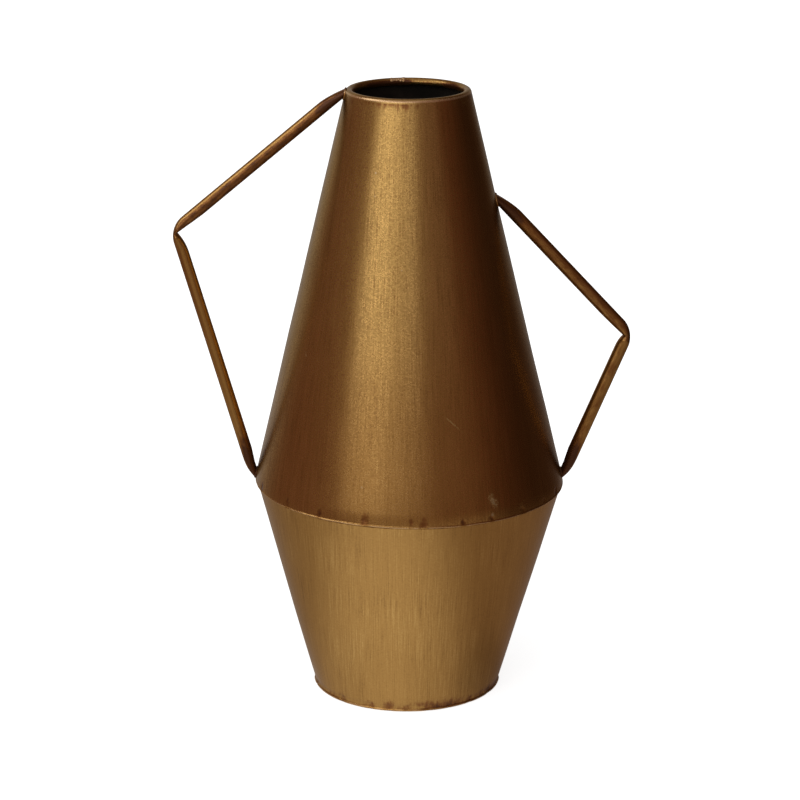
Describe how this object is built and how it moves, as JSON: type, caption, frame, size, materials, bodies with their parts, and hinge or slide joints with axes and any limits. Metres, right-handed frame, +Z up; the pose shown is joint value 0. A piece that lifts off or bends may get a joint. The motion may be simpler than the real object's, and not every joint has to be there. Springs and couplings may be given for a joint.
{
  "type": "urn vase",
  "caption": "Sheet-metal urn vase: a tall cone over an inverted cone with a rolled mouth and bent tube handles of unequal height, for holding dry stems.",
  "frame": {"origin": "centre of the flat underside of the base, on the vase's axis", "axes": "+Z up along the vase's axis, -X towards the tall handle, -Y towards the front"},
  "size_m": [0.2954, 0.2011, 0.4],
  "materials": {
    "gold_lacquer": "brushed gold lacquer over dark brown iron, worn at edges and seams",
    "dark_paint": "plain dark brown paint",
    "bare_wire": "bare drawn wire, sealed inside the rolled rim",
    "solder": "dull grey solder"
  },
  "bodies": {
    "root": {"upper_cone": "gold_lacquer", "lower_cone": "gold_lacquer", "left_handle": "gold_lacquer", "right_handle": "gold_lacquer", "left_handle_top_weld": "gold_lacquer", "left_handle_foot_weld": "gold_lacquer", "right_handle_top_weld": "gold_lacquer", "right_handle_foot_weld": "gold_lacquer", "upper_seam_weld": "gold_lacquer", "lower_seam_weld": "gold_lacquer", "base_pan": "dark_paint", "rim_wire": "bare_wire", "belly_solder": "solder", "base_solder": "solder"}
  },
  "joints": []
}
